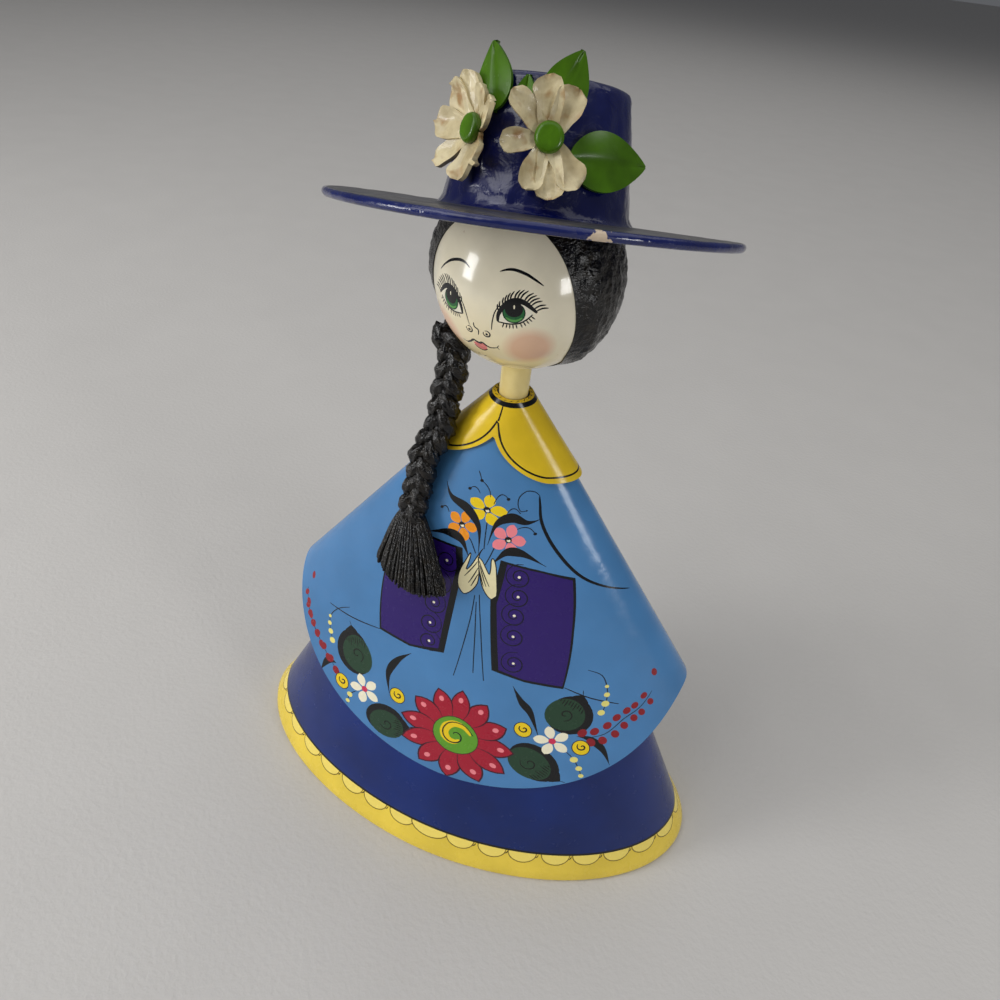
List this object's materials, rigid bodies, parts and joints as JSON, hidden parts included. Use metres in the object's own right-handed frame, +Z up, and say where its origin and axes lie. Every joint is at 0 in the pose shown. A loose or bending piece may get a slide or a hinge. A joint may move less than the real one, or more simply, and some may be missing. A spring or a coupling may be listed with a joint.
{
  "type": "papier-mache figure",
  "caption": "Painted papier-mache girl figure in an oval skirt and cape, with a long plait and a flat-topped hat with flowers; stands on its own base.",
  "frame": {"origin": "middle of the flat underside that the figure stands on", "axes": "+Z up, the figure faces -Y, its left hand side is +X"},
  "size_m": [0.24, 0.129, 0.3351],
  "materials": {
    "skirt_blue": "glossy dark blue lacquer over papier-mache, with a yellow hem",
    "cape_blue": "glossy light blue lacquer with hand-painted flowers",
    "collar_yellow": "glossy yellow lacquer with black outlines",
    "skin_cream": "glossy cream lacquer",
    "hair_black": "stiff plant fibre painted glossy black",
    "hat_blue": "glossy dark blue lacquer, slightly wrinkled",
    "petal_cream": "cream lacquer, stained brown at the edges",
    "leaf_green": "glossy green lacquer"
  },
  "bodies": {
    "root": {"skirt": "skirt_blue", "cape": "cape_blue", "collar": "collar_yellow", "neck": "skin_cream", "head": "skin_cream", "hair": "hair_black", "braid": "hair_black", "hat": "hat_blue", "flower_right": "petal_cream", "flower_left": "petal_cream", "leaf_right": "leaf_green", "leaf_back": "leaf_green", "leaf_inner": "leaf_green", "leaf_left": "leaf_green", "leaf_low": "leaf_green"}
  },
  "joints": []
}
